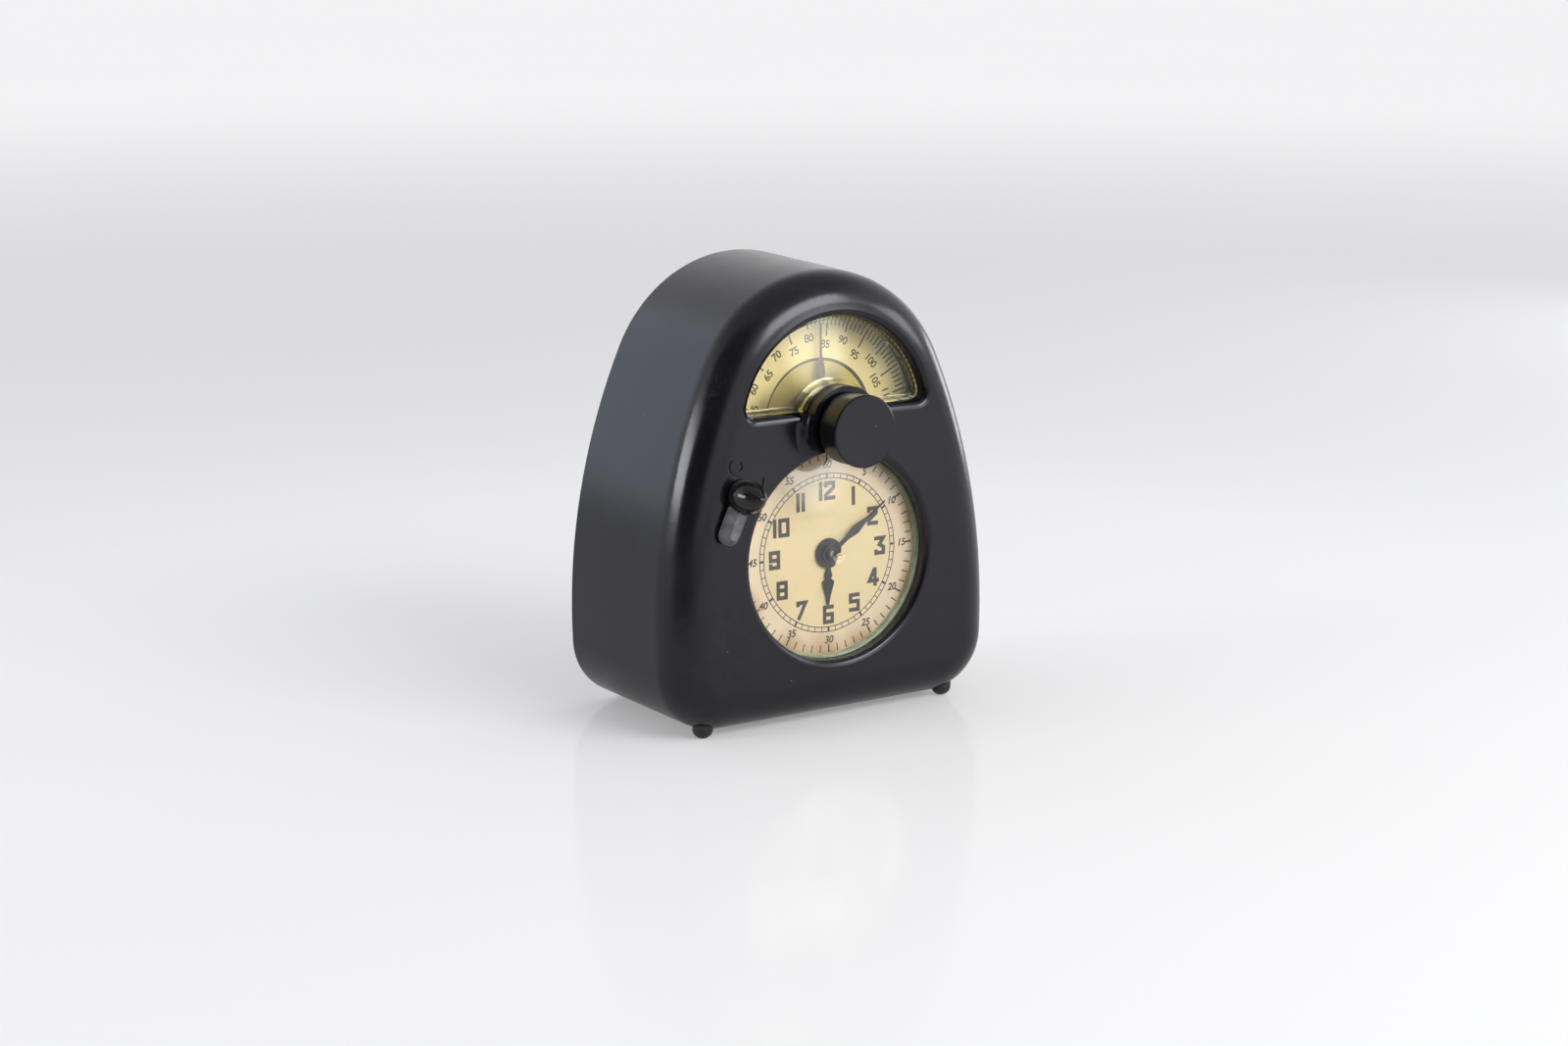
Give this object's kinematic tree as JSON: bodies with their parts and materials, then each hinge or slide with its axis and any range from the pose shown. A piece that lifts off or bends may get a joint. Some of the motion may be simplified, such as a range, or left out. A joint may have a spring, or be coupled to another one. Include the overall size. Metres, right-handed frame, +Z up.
{
  "type": "table clock with interval timer",
  "caption": "Wind-up table clock in a moulded arched case, with a round clock dial below a half-round interval-timer window, a front setting knob and a side lever.",
  "frame": {"origin": "centre of the overall box at the level that the feet stand on", "axes": "+Z up, -Y towards the dials, +X to the right as seen from the front"},
  "size_m": [0.1398, 0.0874, 0.1623],
  "materials": {
    "case_black": "satin gloss moulded phenolic",
    "rubber": "dull",
    "cover_steel": "black enamel",
    "steel": "brushed",
    "dark_steel": "blackened",
    "brass": "stamped and polished",
    "glass": "clear, greenish edge",
    "lens": "clear plastic yellowed by age",
    "clock_dial": "printed cream dial",
    "timer_dial": "printed cream dial",
    "spring_steel": "blued",
    "bell_metal": "nickel plated"
  },
  "bodies": {
    "case": {"case_shell": "case_black", "rubber_feet": "rubber", "back_cover": "cover_steel", "back_cover_screws": "steel", "clock_glass": "glass", "glass_spacer_ring": "dark_steel", "clock_dial": "clock_dial", "dial_feet": "brass", "timer_lens": "lens", "timer_pointer": "dark_steel", "timer_arbor_bush": "brass", "clock_front_plate": "brass", "clock_rear_plate": "brass", "clock_pillars": "steel", "plate_nuts": "steel", "plate_screws": "steel", "mainspring": "spring_steel", "hairspring": "spring_steel", "timer_front_plate": "brass", "timer_rear_plate": "brass", "timer_pillars": "steel", "timer_mainspring": "spring_steel", "bell": "bell_metal", "bell_post": "steel"},
    "minute_train": {"minute_hand": "dark_steel", "hand_cap": "dark_steel", "centre_arbor": "steel", "centre_wheel": "brass", "cannon_pinion": "brass", "hand_set_knob": "case_black"},
    "hour_train": {"hour_hand": "dark_steel", "hour_wheel": "brass"},
    "minute_wheel": {"minute_wheel": "brass"},
    "great_wheel": {"great_wheel": "brass", "click": "steel", "click_spring": "spring_steel"},
    "third_wheel": {"third_wheel": "brass"},
    "fourth_wheel": {"fourth_wheel": "brass"},
    "escape_wheel": {"escape_wheel": "brass"},
    "pallet_lever": {"pallet_lever": "steel"},
    "balance_wheel": {"balance_wheel": "brass"},
    "regulator": {"regulator_lever": "steel"},
    "winding": {"winding_arbor": "steel", "ratchet_wheel": "brass", "winding_key": "steel"},
    "timer_rotor": {"timer_dial": "timer_dial", "timer_dial_collet": "brass", "timer_knob": "case_black", "knob_set_screw": "steel", "timer_arbor": "steel", "timer_main_wheel": "brass"},
    "timer_second_wheel": {"timer_second_wheel": "brass"},
    "timer_escape_wheel": {"timer_escape_wheel": "brass"},
    "timer_verge": {"timer_verge": "steel"},
    "bell_hammer": {"bell_hammer": "steel"},
    "bell_lever": {"bell_lever": "case_black", "lever_shaft": "steel", "lever_spring_washer": "spring_steel", "lever_retaining_clip": "steel", "shutoff_arm": "steel"}
  },
  "joints": [
    {"name": "minute_hand_turn", "type": "hinge", "parent": "case", "child": "minute_train", "pos_m": [0, -0.00886, 0.06007], "axis": [0, 0.9994, -0.0349], "continuous": true},
    {"name": "hour_hand_turn", "type": "hinge", "parent": "case", "child": "hour_train", "pos_m": [0, -0.00886, 0.06007], "axis": [0, 0.9994, -0.0349], "continuous": true},
    {"name": "minute_wheel_turn", "type": "hinge", "parent": "case", "child": "minute_wheel", "pos_m": [0, -0.00928, 0.04807], "axis": [0, 0.9994, -0.0349], "continuous": true},
    {"name": "great_wheel_turn", "type": "hinge", "parent": "case", "child": "great_wheel", "pos_m": [-0.0181, -0.00967, 0.03691], "axis": [0, 0.9994, -0.0349], "continuous": true},
    {"name": "third_wheel_turn", "type": "hinge", "parent": "case", "child": "third_wheel", "pos_m": [0.01522, -0.00867, 0.0656], "axis": [0, 0.9994, -0.0349], "continuous": true},
    {"name": "fourth_wheel_turn", "type": "hinge", "parent": "case", "child": "fourth_wheel", "pos_m": [0.02287, -0.00913, 0.05236], "axis": [0, 0.9994, -0.0349], "continuous": true},
    {"name": "escape_wheel_turn", "type": "hinge", "parent": "case", "child": "escape_wheel", "pos_m": [0.02162, -0.00963, 0.03802], "axis": [0, 0.9994, -0.0349], "continuous": true},
    {"name": "pallet_rock", "type": "hinge", "parent": "case", "child": "pallet_lever", "pos_m": [0.01988, -0.00997, 0.02818], "axis": [0, 0.9994, -0.0349], "range_deg": [-3, 3]},
    {"name": "balance_swing", "type": "hinge", "parent": "case", "child": "balance_wheel", "pos_m": [0.00862, -0.0102, 0.02169], "axis": [0, 0.9994, -0.0349], "range_deg": [-135, 135]},
    {"name": "regulator_turn", "type": "hinge", "parent": "case", "child": "regulator", "pos_m": [0.00862, -0.0102, 0.02169], "axis": [0, 0.9994, -0.0349], "range_deg": [-22, 22]},
    {"name": "winding_turn", "type": "hinge", "parent": "case", "child": "winding", "pos_m": [-0.0181, -0.00967, 0.03691], "axis": [0, 0.9994, -0.0349], "range_deg": [0, 1440]},
    {"name": "timer_set", "type": "hinge", "parent": "case", "child": "timer_rotor", "pos_m": [0, -0.00723, 0.10684], "axis": [0, 0.9994, -0.0349], "range_deg": [-104.6, 230.2]},
    {"name": "timer_second_turn", "type": "hinge", "parent": "case", "child": "timer_second_wheel", "pos_m": [0.01794, -0.00693, 0.1152], "axis": [0, 0.9994, -0.0349], "range_deg": [-2400, 1100]},
    {"name": "timer_escape_turn", "type": "hinge", "parent": "case", "child": "timer_escape_wheel", "pos_m": [0.01114, -0.00652, 0.12697], "axis": [0, 0.9994, -0.0349], "range_deg": [-8000, 17600]},
    {"name": "verge_rock", "type": "hinge", "parent": "case", "child": "timer_verge", "pos_m": [0.01114, -0.00619, 0.13646], "axis": [0, 0.9994, -0.0349], "range_deg": [-4, 4]},
    {"name": "hammer_swing", "type": "hinge", "parent": "case", "child": "bell_hammer", "pos_m": [-0.022, -0.00746, 0.10004], "axis": [0, 0.9994, -0.0349], "range_deg": [-12, 1]},
    {"name": "bell_lever_turn", "type": "hinge", "parent": "case", "child": "bell_lever", "pos_m": [-0.0415, -0.00792, 0.08685], "axis": [0, 0.9994, -0.0349], "range_deg": [-32, 52]}
  ],
  "couplings": [
    {"joint": "hour_hand_turn", "follows": "minute_hand_turn", "ratio": 0.083333},
    {"joint": "minute_wheel_turn", "follows": "minute_hand_turn", "ratio": -0.33333},
    {"joint": "great_wheel_turn", "follows": "minute_hand_turn", "ratio": -0.16667},
    {"joint": "third_wheel_turn", "follows": "minute_hand_turn", "ratio": -8},
    {"joint": "fourth_wheel_turn", "follows": "minute_hand_turn", "ratio": 60},
    {"joint": "escape_wheel_turn", "follows": "minute_hand_turn", "ratio": -480},
    {"joint": "timer_second_turn", "follows": "timer_set", "ratio": -10},
    {"joint": "timer_escape_turn", "follows": "timer_set", "ratio": 75}
  ]
}
